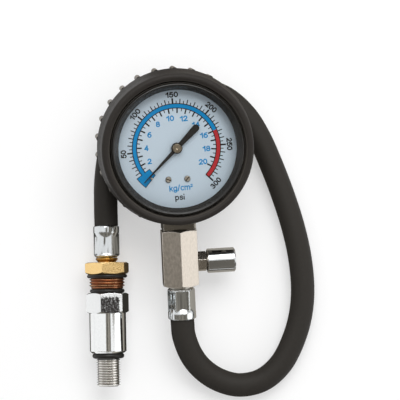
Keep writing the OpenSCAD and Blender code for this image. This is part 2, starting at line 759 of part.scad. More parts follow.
// Rubber disc that closes the valve's seat
module valve_seal() {
  color("#2a2928") along_valve() translate([0, 0, seat_x - 1.2]) difference() {
    cylinder(r = 2.1, h = 1.15, $fn = 48);
    translate([0, 0, -1]) cylinder(r = pin_r, h = 4, $fn = 32);
  }
}

// Chrome push cap that slides over the hex neck
module button_cap() {
  color("#d5d7d8") along_valve() translate([0, 0, cap_x]) difference() {
    rotate_extrude() polygon([
      [0, 0], [cap_d / 2 - 0.3, 0], [cap_d / 2, 0.3], [cap_d / 2, cap_l - 0.6],
      [cap_d / 2 - 0.6, cap_l], [0, cap_l]
    ]);
    translate([0, 0, -1]) cylinder(r = cap_bore_r, h = 5.4);
    translate([0, 0, -1]) cylinder(r = boss_r + 0.08, h = cap_l - 0.6, $fn = 48);
    translate([0, 0, -1]) cylinder(r = pin_r, h = cap_l + 0.2, $fn = 32);
  }
}

// Nipple between the tee and the hose: pipe thread, collar and barbed stem
module hose_nipple() {
  bite = 0.35;
  color("#b9b4aa") along_tee() difference() {
    union() {
      translate([0, 0, tee_end - nipple_in]) cylinder(r = pipe_d / 2, h = nipple_in);
      translate([0, 0, tee_end + seat]) cylinder(r = 6, h = ferrule_gap - 2 * seat);
      translate([0, 0, tee_end - 1]) cylinder(r = barb_r, h = ferrule_gap + ferrule_l - 1);
      for (i = [0:3])
        translate([0, 0, tee_end + ferrule_gap + 3.2 + i * 2.6])
          cylinder(r1 = barb_r + bite, r2 = barb_r, h = 1.8);
    }
    translate([0, 0, tee_top]) cylinder(r = nipple_bore_r, h = tee_l + ferrule_gap + ferrule_l, $fn = 32);
  }
}

// Crimped ferrule at the tee
module gauge_ferrule() {
  color("#cfd1d2") along_tee() translate([0, 0, -ferrule_y + ferrule_l]) mirror([0, 0, 1])
    ferrule(tee_ferrule_d, 0);
}

// Rubber hose from crimp to crimp, swept along its route
module hose() {
  sides = 12;
  start = [0, ferrule_y, axis_z];
  inner = [0, -1, 0];
  lead = [start + 1.7 * inner, start + (ferrule_l - 2.7) * inner, start + (ferrule_l - 0.1) * inner];
  tail = [plug_at + 0.1 * plug_way, plug_at + 2.7 * plug_way, plug_at + (ferrule_l - 1.7) * plug_way];
  ends = concat([start + ferrule_l * inner], route, [plug_at]);
  middle = [for (i = [1:len(ends) - 2], t = [0, 0.5]) curve(ends, i, t)];
  centres = concat(lead, middle, tail);
  last = len(centres) - 1;
  function ahead(i) = i < 3 ? inner : i > last - 3 ? plug_way : unit(centres[i + 1] - centres[i - 1]);
  function radius(i) = i < 2 || i > last - 2 ? crimped_d / 2 : hose_r;
  function ring(i) = let (t = ahead(i), s = unit(cross([0, 0, 1], t)), u = cross(t, s))
    [for (k = [0:sides - 1])
      centres[i] + radius(i) * (cos(k * 360 / sides) * s + sin(k * 360 / sides) * u)];
  points = [for (i = [0:last], p = ring(i)) p];
  sheath = [
    for (i = [0:last - 1], k = [0:sides - 1], h = [0, 1])
      let (a = i * sides + k, b = i * sides + (k + 1) % sides)
      h == 0 ? [a, a + sides, b] : [b, a + sides, b + sides]
  ];
  caps = [[for (k = [0:sides - 1]) k], [for (k = [sides - 1:-1:0]) last * sides + k]];
  color("#2a2927") difference() {
    polyhedron(points, concat(sheath, caps));
    along_tee() translate([0, 0, -ferrule_y]) cylinder(r = barb_r, h = ferrule_l, $fn = 48);
    along_plug() translate([0, 0, 0.2]) cylinder(r = barb_r, h = ferrule_l, $fn = 48);
  }
}

// Crimped ferrule at the plug
module plug_ferrule() {
  color("#d5d7d8") along_plug() ferrule(ferrule_d, crimp_turn);
}

// Brass fitting: barbed stem, collar, hex, large thread and the nose for the adapter
module plug_fitting() {
  bite = 0.35;
  color("#c79a4a") along_plug() difference() {
    union() {
      translate([0, 0, 0.6]) cylinder(r = barb_r, h = neck_s);
      for (i = [0:3])
        translate([0, 0, 2.6 + i * 2.6]) cylinder(r1 = barb_r, r2 = barb_r + bite, h = 1.8);
      translate([0, 0, neck_s]) rotate_extrude() polygon([
        [0, 0], [5.2, 0], [5.6, 0.4], [5.6, 0.9], [4.6, 2], [4.6, 3], [0, 3]
      ]);
      translate([0, 0, brass_s]) turned_hex(brass_af, brass_hex_l, brass_turn, 0.7, 1.1);
      translate([0, 0, large_s]) thread_stub(large_thread_d, large_pitch, large_thread_l, ring_t + 0.5);
      translate([0, 0, nose_s - 0.5]) rotate_extrude() polygon([
        [0, 0], [nose_d / 2, 0], [nose_d / 2, nose_l - 0.3], [nose_d / 2 - 0.8, nose_l + 0.5],
        [0, nose_l + 0.5]
      ]);
    }
    cylinder(r = nipple_bore_r, h = core_s, $fn = 32);
    translate([0, 0, core_s - 6]) cylinder(r = core_r + run, h = 30, $fn = 48);
  }
}

// O-ring under the brass hex
module hex_o_ring() {
  color("#201f1e") along_plug() translate([0, 0, ring_s]) o_ring(large_thread_d / 2 - 0.74, ring_t);
}

// O-ring between the large thread and the adapter
module nose_o_ring() {
  color("#201f1e") along_plug() translate([0, 0, nose_s + 0.02]) o_ring(nose_d / 2 + 0.02, ring_t);
}

// Valve core pressed in the nose
module core_body() {
  color("#b99248") along_plug() difference() {
    translate([0, 0, core_s]) cylinder(r = core_r, h = 12.4, $fn = 48);
    translate([0, 0, core_s - 1]) cylinder(r = 0.7 + run, h = 20, $fn = 24);
    translate([0, 0, core_s + 4]) cylinder(r = 1.8, h = 20, $fn = 32);
  }
}

// Spring that closes the valve core
module core_spring() {
  color("#a8a9a8") along_plug() translate([0, 0, core_s + 4.05]) coils(1.25, 0.4, 7, 6.8);
}

// Pin of the valve core, with a collar that the spring lifts
module core_pin() {
  color("#c4c2bc") along_plug() union() {
    translate([0, 0, core_s - 2]) cylinder(r = 0.7, h = 14.6, $fn = 24);
    translate([0, 0, core_s + 10.95]) cylinder(r = 1.6, h = 0.8, $fn = 32);
  }
}

// Rubber seal of the valve core, on the hose's side of its seat
module core_seal() {
  color("#2a2928") along_plug() translate([0, 0, core_s - 1.45]) difference() {
    cylinder(r = 2, h = 1.4, $fn = 32);
    translate([0, 0, -1]) cylinder(r = 0.7, h = 4, $fn = 24);
  }
}

// Chrome adapter: hex head, round body and the spark plug thread
module adapter() {
  color("#cfd1d2") along_plug() difference() {
    union() {
      translate([0, 0, adapter_s]) turned_hex(adapter_af, adapter_hex_l, adapter_turn, 0.9, 0.9);
      translate([0, 0, body_s - 0.5]) rotate_extrude() polygon([
        [0, 0], [adapter_d / 2, 0], [adapter_d / 2, adapter_body_l - 0.5],
        [adapter_d / 2 - 1, adapter_body_l + 0.5], [0, adapter_body_l + 0.5]
      ]);
      translate([0, 0, thread_s])
        thread_stub(plug_thread_d, plug_pitch, plug_thread_l, thread_s - shoulder_s + 0.5);
    }
    translate([0, 0, adapter_s - 1]) cylinder(r = nose_d / 2 + 0.1, h = nose_end - adapter_s + 2.2);
    translate([0, 0, adapter_s]) cylinder(r = adapter_bore_d / 2, h = thread_end, $fn = 48);
  }
}

// O-ring that seals the adapter on the engine
module adapter_o_ring() {
  color("#201f1e") along_plug() translate([0, 0, shoulder_s + 0.02])
    o_ring(plug_thread_d / 2 - 0.6134 * plug_pitch + 0.05, adapter_ring_t);
}

rubber_boot();
gauge_case();
bezel_ring();
lens();
dial_plate();
dial_screws();
stop_pin();
pointer();
pointer_cap();
pinion();
sector_gear();
link();
tube_tip();
bourdon_tube();
hairspring();
lower_plate();
upper_plate();
plate_pillars();
movement_screws();
socket();
tee_body();
valve_body();
valve_spring();
valve_pin();
valve_seal();
button_cap();
hose_nipple();
gauge_ferrule();
hose();
plug_ferrule();
plug_fitting();
hex_o_ring();
nose_o_ring();
core_body();
core_spring();
core_pin();
core_seal();
adapter();
adapter_o_ring();
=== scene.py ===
import math

import bmesh
import bpy
from mathutils import Matrix, Vector


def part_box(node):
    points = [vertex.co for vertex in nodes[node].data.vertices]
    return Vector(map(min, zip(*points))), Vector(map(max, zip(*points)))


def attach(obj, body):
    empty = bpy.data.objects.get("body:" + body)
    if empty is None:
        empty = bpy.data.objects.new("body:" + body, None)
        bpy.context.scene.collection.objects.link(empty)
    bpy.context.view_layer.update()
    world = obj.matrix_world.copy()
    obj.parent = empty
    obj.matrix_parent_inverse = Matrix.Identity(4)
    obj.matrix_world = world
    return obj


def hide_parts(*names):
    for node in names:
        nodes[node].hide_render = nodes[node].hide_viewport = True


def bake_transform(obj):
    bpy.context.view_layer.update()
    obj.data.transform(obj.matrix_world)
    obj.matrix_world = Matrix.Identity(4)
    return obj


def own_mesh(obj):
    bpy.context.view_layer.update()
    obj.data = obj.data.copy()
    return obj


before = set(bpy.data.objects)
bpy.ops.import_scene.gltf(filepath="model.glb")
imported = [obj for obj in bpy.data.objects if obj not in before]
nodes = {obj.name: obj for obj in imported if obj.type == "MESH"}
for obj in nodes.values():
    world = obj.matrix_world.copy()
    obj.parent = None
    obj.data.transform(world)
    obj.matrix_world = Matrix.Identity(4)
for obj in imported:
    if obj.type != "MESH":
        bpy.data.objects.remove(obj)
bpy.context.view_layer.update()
scene = bpy.context.scene

# Camera: a long lens a metre from the gauge, leaning a little to the dial's upper left.
# The tee hangs 3.2 degrees off the picture's vertical, so the camera is rolled by that much.
target = Vector((0.012894, -0.029634, -0.004))
lean, toward, roll = (math.radians(a) for a in (9.3, 131.0, 3.2))
film_mm, film_px, focal_px = 36.0, 400, 1968.5
back = Vector((math.sin(lean) * math.cos(toward), math.sin(lean) * math.sin(toward), math.cos(lean)))
right = (Vector((1, 0, 0)) - back * back.x).normalized()
camera_axes = [Matrix.Rotation(-roll, 3, "Z") @ v for v in (right, back.cross(right), back)]
lens_data = bpy.data.cameras.new("long_lens")
lens_data.sensor_width = film_mm
lens_data.lens = film_mm * focal_px / film_px
camera = bpy.data.objects.new("long_lens", lens_data)
camera.matrix_world = Matrix.Translation(target + camera_axes[2]) @ Matrix(camera_axes).transposed().to_4x4()
scene.collection.objects.link(camera)
scene.camera = camera

# Hose: extruded synthetic rubber, 12 mm across, crimped in a ferrule at each end.
# It leaves the tee downwards, turns up and passes behind the gauge to the plug, in the plane of the table.
hose_d = 0.012
hose_steps = 8
hose_mm = [
    (0, -87.3, 10), (0, -90, 10), (0.5, -96.9, 9.9), (3.7, -106.4, 9), (9.3, -114.5, 8), (17.7, -120.8, 7.9),
    (28.1, -123.8, 8.8), (39.8, -121.7, 9), (49.6, -113.8, 9), (56.6, -101.7, 8.1), (60.8, -89.1, 6.9),
    (62.5, -75.6, 5.4), (61.8, -60.2, 3.3), (59.2, -44.7, 1), (55.1, -29.1, -1.4), (50.4, -14.5, -3.8),
    (44.8, 0.2, -6.2), (38.1, 12, -8.4), (28.3, 21.3, -10.6), (15, 26.5, -12.6), (1, 27.5, -14.2),
    (-11, 25, -15), (-20.5, 18.5, -15.2), (-27.5, 8.5, -14.6), (-31.7, -5.5, -12.6), (-34.1, -18.3, -9.5),
    (-34.9, -29.3, -6.6), (-35.3, -40.34, -4.4),
]
hose_points = [Vector(p) / 1000 for p in hose_mm]
hose_line = []
for i in range(len(hose_points) - 1):
    a, b, c, d = (hose_points[min(max(k, 0), len(hose_points) - 1)] for k in (i - 1, i, i + 1, i + 2))
    for t in (k / hose_steps for k in range(hose_steps)):
        bend = (2 * a - 5 * b + 4 * c - d) * t ** 2 + (3 * b - a - 3 * c + d) * t ** 3
        hose_line.append(0.5 * (2 * b + (c - a) * t + bend))
hose_line.append(hose_points[-1])
hose_curve = bpy.data.curves.new("hose_rubber", "CURVE")
hose_curve.dimensions = "3D"
hose_curve.bevel_depth = hose_d / 2
hose_curve.bevel_resolution = 10
hose_curve.use_fill_caps = True
spline = hose_curve.splines.new("POLY")
spline.points.add(len(hose_line) - 1)
for point, place in zip(spline.points, hose_line):
    point.co = (*place, 1)
spline.use_smooth = True
hose = bpy.data.objects.new("hose_rubber", hose_curve)
scene.collection.objects.link(hose)


def linear(code):
    """An sRGB hex colour as the linear colour that a shader takes."""
    parts = [int(code[i:i + 2], 16) / 255 for i in (1, 3, 5)]
    return [*(v / 12.92 if v <= 0.04045 else ((v + 0.055) / 1.055) ** 2.4 for v in parts), 1.0]


def put(tree, kind, settings=(), feeds=()):
    """Adds a node with its settings. Its inputs, by name or number, take values or other nodes' outputs."""
    node = tree.nodes.new(kind)
    for key, value in dict(settings).items():
        setattr(node, key, value)
    for key, value in dict(feeds).items():
        if isinstance(value, bpy.types.NodeSocket):
            tree.links.new(value, node.inputs[key])
        else:
            node.inputs[key].default_value = value
    return node


def grained(name, low, high, grain, rough, relief, metal=0.0, stretch=(1, 1, 1), edge=0.0, wear_and_highlight=None, fine=3):
    """A finish whose colour, gloss and height follow one grain: its size in mm, its height in micrometres.
    An edge in mm rounds the corners where faces meet, and a colour on them stands partly for wear and partly
    for a painted highlight. Fine is how many finer grains lie on the first.
    Returns the material, its shader and the grain's output."""
    material = bpy.data.materials.new(name)
    material.use_nodes = True
    tree = material.node_tree
    shader = tree.nodes["Principled BSDF"]
    shader.inputs["Metallic"].default_value = metal
    place = put(tree, "ShaderNodeTexCoord").outputs["Object"]
    spread = put(tree, "ShaderNodeMapping", (), {"Vector": place, "Scale": stretch}).outputs[0]
    noise = put(tree, "ShaderNodeTexNoise", (), {"Vector": spread, "Scale": 1000 / grain, "Detail": fine,
                                                 "Roughness": 0.55}).outputs["Fac"]
    tint = put(tree, "ShaderNodeMix", {"data_type": "RGBA"},
               {0: noise, 6: linear(low), 7: linear(high)}).outputs[2]
    gloss = put(tree, "ShaderNodeMapRange", (), {"Value": noise, "From Min": 0.3, "From Max": 0.7,
                                                 "To Min": rough[0], "To Max": rough[1]}).outputs[0]
    bump = put(tree, "ShaderNodeBump", (), {"Height": noise, "Distance": relief * 1e-6, "Strength": 1.0})
    if edge:
        rounded_normal = put(tree, "ShaderNodeBevel", {"samples": 6}, {"Radius": edge / 1000}).outputs[0]
        tree.links.new(rounded_normal, bump.inputs["Normal"])
    # The colour on the rounded corners: partly wear, partly a painted highlight.
    if wear_and_highlight:
        flat = put(tree, "ShaderNodeNewGeometry").outputs["Normal"]
        along = put(tree, "ShaderNodeVectorMath", {"operation": "DOT_PRODUCT"}, {0: rounded_normal, 1: flat})
        wear_and_highlight_share = put(tree, "ShaderNodeMapRange", (),
                     {"Value": along.outputs["Value"], "From Min": 0.9995, "From Max": 0.98}).outputs[0]
        tint = put(tree, "ShaderNodeMix", {"data_type": "RGBA"},
                   {0: wear_and_highlight_share, 6: tint, 7: linear(wear_and_highlight)}).outputs[2]
    tree.links.new(tint, shader.inputs["Base Color"])
    tree.links.new(gloss, shader.inputs["Roughness"])
    tree.links.new(bump.outputs[0], shader.inputs["Normal"])
    return material, shader, noise


# Matt extruded rubber: dark, with a fine dusty bloom that the 1.4 mm grain draws coarser than it is.
rubber_shine = 0.16
hose_finish, hose_shader, _ = grained("extruded_rubber", "#2a2724", "#33302c",
                                      grain=1.4, rough=(0.55, 0.66), relief=10)
hose_shader.inputs["Specular IOR Level"].default_value = rubber_shine
hose_curve.materials.append(hose_finish)
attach(hose, "gauge")
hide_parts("hose")


# Case: a drawn steel cup, painted black, with a round hole for the socket's stem.
# Satin stoved paint, near black with a soft sheen. Only its back pad shows, through the opening in the boot.
def dress(finish, *names):
    """Gives CAD pieces a finish."""
    for name in names:
        mesh = nodes[name].data
        mesh.materials.clear()
        mesh.materials.append(finish)


case_finish, _, _ = grained("black_stoved_paint", "#262524", "#2f2e2c",
                            grain=0.9, rough=(0.34, 0.44), relief=8)
dress(case_finish, "gauge_case")

# Bezel: a rolled steel ring, stove-enamelled black, pressed over the case's rim.
# Semi-gloss enamel, so its inner wall shows soft grey reflections at left and right.
# The outer roll, from 32.5 mm off the axis, is painted grey: a painted highlight on the bezel's rounded edge.
bezel_roll_painted_highlight = (32.5, 33.0)
bezel_finish, bezel_shader, _ = grained("black_stove_enamel", "#161513", "#1b1a18",
                                        grain=2.5, rough=(0.2, 0.26), relief=2, edge=0.25)
bezel_shader.inputs["Specular IOR Level"].default_value = 0.5


def ring_share(tree, low, high):
    """A share that goes from 0 to 1 between two distances in mm from the dial's axis."""
    place = put(tree, "ShaderNodeTexCoord").outputs["Object"]
    flat = put(tree, "ShaderNodeVectorMath", {"operation": "MULTIPLY"}, {0: place, 1: (1, 1, 0)}).outputs[0]
    reach = put(tree, "ShaderNodeVectorMath", {"operation": "LENGTH"}, {0: flat}).outputs["Value"]
    return put(tree, "ShaderNodeMapRange", (),
               {"Value": reach, "From Min": low / 1000, "From Max": high / 1000}).outputs[0]


def toned(tree, shader, share, colour):
    """Lays a colour over a finish's own, by a share."""
    under = shader.inputs["Base Color"].links[0].from_socket
    over = put(tree, "ShaderNodeMix", {"data_type": "RGBA"}, {0: share, 6: under, 7: colour})
    tree.links.new(over.outputs[2], shader.inputs["Base Color"])


bezel_tree = bezel_finish.node_tree
# Painted highlight: the bezel's outer roll is grey.
toned(bezel_tree, bezel_shader, ring_share(bezel_tree, *bezel_roll_painted_highlight), linear("#57534d"))
dress(bezel_finish, "bezel_ring")

# Boot: moulded soft rubber pulled over the case, with a rounded lip and half-round grip ribs.
# Matt from the mould, with grey dust on the crowns of the ribs, below the raised band. The groove around the
# bezel is painted lighter: painted light that lifts its shade.
rib_crown, groove_painted_light = (37.7, 39.1), (34.4, 33.8)
band_foot, ribs_top = 0.0132, 0.0128
boot_finish, boot_shader, boot_grain = grained("moulded_rubber", "#262320", "#2f2b28",
                                               grain=1.1, rough=(0.46, 0.58), relief=8, edge=0.4)
boot_shader.inputs["Specular IOR Level"].default_value = rubber_shine
boot_tree = boot_finish.node_tree
boot_place = put(boot_tree, "ShaderNodeTexCoord").outputs["Object"]
boot_height = put(boot_tree, "ShaderNodeSeparateXYZ", (), {0: boot_place}).outputs[2]
under_band = put(boot_tree, "ShaderNodeMapRange", (),
                 {"Value": boot_height, "From Min": band_foot, "From Max": ribs_top}).outputs[0]
dusty = put(boot_tree, "ShaderNodeMath", {"operation": "MULTIPLY"},
            {0: ring_share(boot_tree, *rib_crown), 1: under_band}).outputs[0]
dust = put(boot_tree, "ShaderNodeMix", {"data_type": "RGBA"},
           {0: boot_grain, 6: linear("#6f695f"), 7: linear("#99938a")}).outputs[2]
toned(boot_tree, boot_shader, dusty, dust)
# Painted light: the groove around the bezel and the lip's inner side are lighter than their shade.
toned(boot_tree, boot_shader, ring_share(boot_tree, *groove_painted_light), linear("#4d4944"))
dress(boot_finish, "rubber_boot")

# Dial: an aluminium sheet painted pale blue-grey, held by two small screws.
# Smooth semi-matt paint with a barely seen orange peel of about 1.5 mm.
dial_finish, _, _ = grained("pale_dial_paint", "#b6c5d0", "#bbcad5", grain=1.5, rough=(0.42, 0.5), relief=3)
dress(dial_finish, "dial_plate")

# Dial print: screen-printed inks, a few hundredths of a millimetre thick, dense, with hardly any shine.
# The whole print is turned 2.7 degrees from the tee. Values run clockwise from zero, 300 psi and 21.09 kg/cm2
# at the same angle.
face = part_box("dial_plate")[1].z
full_psi, full_kg = 300, 21.09
zero_turn, psi_turn, print_turn = 229.8, 0.9148, 2.7
kg_turn = psi_turn * full_psi / full_kg
full_turn = zero_turn - full_psi * psi_turn
tick_t, ink_shine = 0.00008, 0.15
inks = []
for ink, low, high in (("black", "#191716", "#1f1d1c"), ("blue", "#007fb9", "#0082bd"),
                       ("red", "#ac2a2f", "#b12d32")):
    finish, shader, _ = grained(ink + "_screen_ink", low, high, grain=0.6, rough=(0.38, 0.5), relief=2)
    shader.inputs["Specular IOR Level"].default_value = ink_shine
    inks.append(finish)
black_ink, blue_ink, red_ink = inks

ticks = bpy.data.node_groups.new("scale_ticks", "GeometryNodeTree")
for label, kind in (("Count", "Int"), ("First", "Float"), ("Step", "Float"), ("Inner", "Float"),
                    ("Length", "Float"), ("Width", "Float"), ("Face", "Float"), ("Thickness", "Float"),
                    ("Skip Every", "Int"), ("Skip From", "Int"), ("Ink", "Material")):
    ticks.interface.new_socket(label, in_out="INPUT", socket_type="NodeSocket" + kind)
ticks.interface.new_socket("Geometry", in_out="OUTPUT", socket_type="NodeSocketGeometry")
given = put(ticks, "NodeGroupInput").outputs
number = put(ticks, "GeometryNodeInputIndex").outputs[0]
steps = put(ticks, "ShaderNodeMath", {"operation": "MULTIPLY_ADD"},
            {0: number, 1: given["Step"], 2: given["First"]}).outputs[0]
angle = put(ticks, "ShaderNodeMath", {"operation": "RADIANS"}, {0: steps}).outputs[0]
half = put(ticks, "ShaderNodeMath", {"operation": "MULTIPLY_ADD"},
           {0: given["Length"], 1: 0.5, 2: given["Inner"]}).outputs[0]
side = put(ticks, "ShaderNodeMath", {"operation": "COSINE"}, {0: angle}).outputs[0]
rise = put(ticks, "ShaderNodeMath", {"operation": "SINE"}, {0: angle}).outputs[0]
along = put(ticks, "ShaderNodeMath", {"operation": "MULTIPLY"}, {0: side, 1: half}).outputs[0]
above = put(ticks, "ShaderNodeMath", {"operation": "MULTIPLY"}, {0: rise, 1: half}).outputs[0]
where = put(ticks, "ShaderNodeCombineXYZ", (), {0: along, 1: above, 2: given["Face"]}).outputs[0]
dots = put(ticks, "GeometryNodePoints", (), {"Count": given["Count"], "Position": where}).outputs[0]
size = put(ticks, "ShaderNodeCombineXYZ", (),
           {0: given["Length"], 1: given["Width"], 2: given["Thickness"]}).outputs[0]
tick = put(ticks, "GeometryNodeMeshCube", (), {"Size": size}).outputs[0]
turned = put(ticks, "ShaderNodeCombineXYZ", (), {2: angle}).outputs[0]
spin = put(ticks, "FunctionNodeEulerToRotation", (), {0: turned}).outputs[0]
moved = put(ticks, "ShaderNodeMath", {"operation": "ADD"}, {0: number, 1: given["Skip From"]}).outputs[0]
left_over = put(ticks, "ShaderNodeMath", {"operation": "MODULO"},
                {0: moved, 1: given["Skip Every"]}).outputs[0]
drawn = put(ticks, "ShaderNodeMath", {"operation": "GREATER_THAN"}, {0: left_over, 1: 0.5}).outputs[0]
row = put(ticks, "GeometryNodeInstanceOnPoints", (),
          {"Points": dots, "Selection": drawn, "Instance": tick, "Rotation": spin}).outputs[0]
real = put(ticks, "GeometryNodeRealizeInstances", (), {0: row}).outputs[0]
inked = put(ticks, "GeometryNodeSetMaterial", (), {"Geometry": real, "Material": given["Ink"]}).outputs[0]
put(ticks, "NodeGroupOutput", (), {0: inked})


def meshed(carrier):
    """The plain mesh of an object as its modifiers or its curve make it; the object goes."""
    scene.collection.objects.link(carrier)
    graph = bpy.context.evaluated_depsgraph_get()
    mesh = bpy.data.meshes.new_from_object(carrier.evaluated_get(graph), depsgraph=graph)
    bpy.data.objects.remove(carrier)
    return mesh


def tick_row(count, first, step, inner, length, width, skip=1000, skip_from=1):
    """One row of ticks, in degrees and mm. One tick in so many is skipped, counted from a number."""
    sizes = {
        "Count": count, "First": first, "Step": -step, "Inner": inner / 1000, "Length": length / 1000,
        "Width": width / 1000, "Face": face, "Thickness": tick_t, "Skip Every": skip, "Skip From": skip_from,
        "Ink": black_ink,
    }
    carrier = bpy.data.objects.new("carrier", bpy.data.meshes.new("carrier"))
    maker = carrier.modifiers.new("ticks", "NODES")
    maker.node_group = ticks
    for item in ticks.interface.items_tree:
        if item.in_out == "INPUT":
            maker[item.identifier] = sizes[item.name]
    return meshed(carrier)


def gather(name, meshes, finish, body):
    """Joins meshes into one piece that rides on a body."""
    made = bmesh.new()
    for mesh in meshes:
        made.from_mesh(mesh)
    whole = bpy.data.meshes.new(name)
    made.to_mesh(whole)
    made.free()
    whole.materials.clear()
    whole.materials.append(finish)
    for polygon in whole.polygons:
        polygon.material_index = 0
    piece = bpy.data.objects.new(name, whole)
    scene.collection.objects.link(piece)
    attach(piece, body)
    return piece


def sector(inner, outer, start, end, height):
    """A flat printed sector between two radii in mm and two angles, standing a little over the dial."""
    made = bmesh.new()
    count = max(2, round(abs(end - start) / 1.5))
    low, high = face - 1e-5, face + height
    rings = []
    for i in range(count + 1):
        a = math.radians(start + (end - start) * i / count)
        rings.append([made.verts.new((r * math.cos(a) / 1000, r * math.sin(a) / 1000, z))
                      for r, z in ((inner, low), (outer, low), (outer, high), (inner, high))])
    for one, two in zip(rings, rings[1:]):
        for k in range(4):
            made.faces.new((one[k], one[(k + 1) % 4], two[(k + 1) % 4], two[k]))
    made.faces.new(rings[0])
    made.faces.new(list(reversed(rings[-1])))
    bmesh.ops.recalc_face_normals(made, faces=made.faces)
    mesh = bpy.data.meshes.new("sector")
    made.to_mesh(mesh)
    made.free()
    return mesh


def arc(x, y, wide, tall, start, end):
    """Points of a part of an ellipse, between two angles in degrees."""
    count = max(3, round(abs(end - start) / 15))
    turns = [math.radians(start + (end - start) * i / count) for i in range(count + 1)]
    return [(x + wide * math.cos(a), y + tall * math.sin(a)) for a in turns]


# Strokes of the plain printed characters: each one's width, then its lines, in a cell one digit high
strokes = {
    "0": (0.56, [arc(0.28, 0.5, 0.28, 0.5, 90, 450)]),
    "1": (0.34, [[(0, 0.74), (0.17, 0.83), (0.3, 1.0), (0.3, 0)]]),
    "2": (0.56, [arc(0.28, 0.71, 0.26, 0.29, 165, -35) + [(0.0, 0.0), (0.56, 0.0)]]),
    "3": (0.56, [arc(0.27, 0.755, 0.23, 0.245, 150, -90), arc(0.27, 0.255, 0.28, 0.255, 90, -155)]),
    "4": (0.6, [[(0.45, 0), (0.45, 1.0), (0.0, 0.28), (0.6, 0.28)]]),
    "5": (0.56, [[(0.51, 1.0), (0.13, 1.0)] + arc(0.27, 0.33, 0.28, 0.33, 140, -150)]),
    "6": (0.56, [arc(0.28, 0.31, 0.28, 0.31, 0, 360), arc(0.42, 0.4, 0.42, 0.6, 180, 78)]),
    "8": (0.56, [arc(0.28, 0.76, 0.23, 0.24, 0, 360), arc(0.28, 0.265, 0.28, 0.265, 0, 360)]),
    "p": (0.52, [[(0, -0.32), (0, 0.72)], arc(0.26, 0.36, 0.26, 0.36, 180, 540)]),
    "s": (0.46, [arc(0.23, 0.54, 0.2, 0.18, 25, 270) + arc(0.23, 0.18, 0.23, 0.18, 90, -155)]),
    "i": (0.04, [[(0.02, 0), (0.02, 0.6)], [(0.02, 0.99), (0.02, 1.0)]]),
    "k": (0.48, [[(0, 0), (0, 1.0)], [(0.44, 0.72), (0, 0.28)], [(0.16, 0.43), (0.48, 0)]]),
    "g": (0.52, [arc(0.26, 0.36, 0.26, 0.36, 0, 360),
                 [(0.52, 0.72), (0.52, -0.06)] + arc(0.26, -0.06, 0.26, 0.25, 0, -160)]),
    "/": (0.3, [[(0, -0.05), (0.3, 1.05)]]),
    "c": (0.48, [arc(0.27, 0.36, 0.27, 0.36, 48, 312)]),
    "m": (0.84, [[(0, 0), (0, 0.72)], arc(0.21, 0.46, 0.21, 0.25, 180, 0) + [(0.42, 0)],
                 arc(0.63, 0.46, 0.21, 0.25, 180, 0) + [(0.84, 0)]]),
}
letter_gap = 0.24
sharp_corner = 1.1
letter_flatness = 0.1


def straights(points):
    """Splits a stroke at its sharp corners, so that each part keeps its weight, and drops doubled points."""
    parts = [[points[0]]]
    for point in points[1:]:
        if (point - parts[-1][-1]).length < 1e-6:
            continue
        if len(parts[-1]) > 1 and (point - parts[-1][-1]).angle(parts[-1][-1] - parts[-1][-2]) > sharp_corner:
            parts.append([parts[-1][-1]])
        parts[-1].append(point)
    return parts


def lettered(text, digit, width, weight, centre, turn):
    """Printed characters: a digit's height, the word's width and the strokes' weight in mm, around a point.
    A stroke is a tube pressed flat; its open ends are lengthened by half its weight."""
    whole = sum(strokes[c][0] + letter_gap for c in text) - letter_gap
    stretch = (width - weight) / (whole * digit)
    line = bpy.data.curves.new("letters", "CURVE")
    line.dimensions = "3D"
    line.bevel_depth = weight / 2
    line.bevel_resolution = 1
    line.use_fill_caps = True
    at = -whole / 2
    for character in text:
        for points in strokes[character][1]:
            drawn_mm = [((at + x) * digit * stretch, (y - 0.5) * (digit - weight), 0) for x, y in points]
            for part in straights([Vector(p) for p in drawn_mm]):
                stroke = line.splines.new("POLY")
                stroke.use_smooth = False
                stroke.use_cyclic_u = (part[0] - part[-1]).length < 1e-6
                if stroke.use_cyclic_u:
                    part.pop()
                else:
                    first = (part[0] - part[1]).normalized() * weight / 2
                    last = (part[-1] - part[-2]).normalized() * weight / 2
                    part[0], part[-1] = part[0] + first, part[-1] + last
                stroke.points.add(len(part) - 1)
                for point, place in zip(stroke.points, part):
                    point.co = (*place, 1)
        at += strokes[character][0] + letter_gap
    mesh = meshed(bpy.data.objects.new("letters", line))
    lie = Matrix.Translation((centre[0] / 1000, centre[1] / 1000, face))
    turned_by = Matrix.Rotation(math.radians(turn), 4, "Z")
    mesh.transform(lie @ turned_by @ Matrix.Diagonal((0.001, 0.001, 0.001 * letter_flatness, 1)))
    return mesh


def around(radius, turn):
    """A point on the dial at a radius in mm and an angle in degrees."""
    return radius * math.cos(math.radians(turn)), radius * math.sin(math.radians(turn))


# Ticks stand on the outside of the coloured band for psi and on its inside for kg/cm2
band_in, band_out = 19.93, 21.67
band_rim_in, band_rim_out = 19.5, 22.1
psi_ticks_in, kg_ticks_in, kg_ticks_out = 21.8, 17.2, 19.8
fine_tick, fine_w, coarse_w = 1.6, 0.42, 0.8
gather("dial_ticks", [
    tick_row(28, zero_turn - 25 * psi_turn, 10 * psi_turn, psi_ticks_in, length=fine_tick, width=fine_w),
    tick_row(28, zero_turn - 20 * psi_turn, 10 * psi_turn, psi_ticks_in, length=2.5, width=0.5,
             skip=5, skip_from=2),
    tick_row(5, zero_turn - 50 * psi_turn, 50 * psi_turn, psi_ticks_in, length=2.8, width=coarse_w),
    tick_row(19, zero_turn - 2 * kg_turn, kg_turn, kg_ticks_in,
             length=kg_ticks_out - kg_ticks_in, width=0.72),
    tick_row(19, zero_turn - 1.5 * kg_turn, kg_turn, kg_ticks_out - fine_tick,
             length=fine_tick, width=fine_w),
    tick_row(1, full_turn, 1, inner=19.75, length=4.9, width=coarse_w),
], black_ink, "gauge")

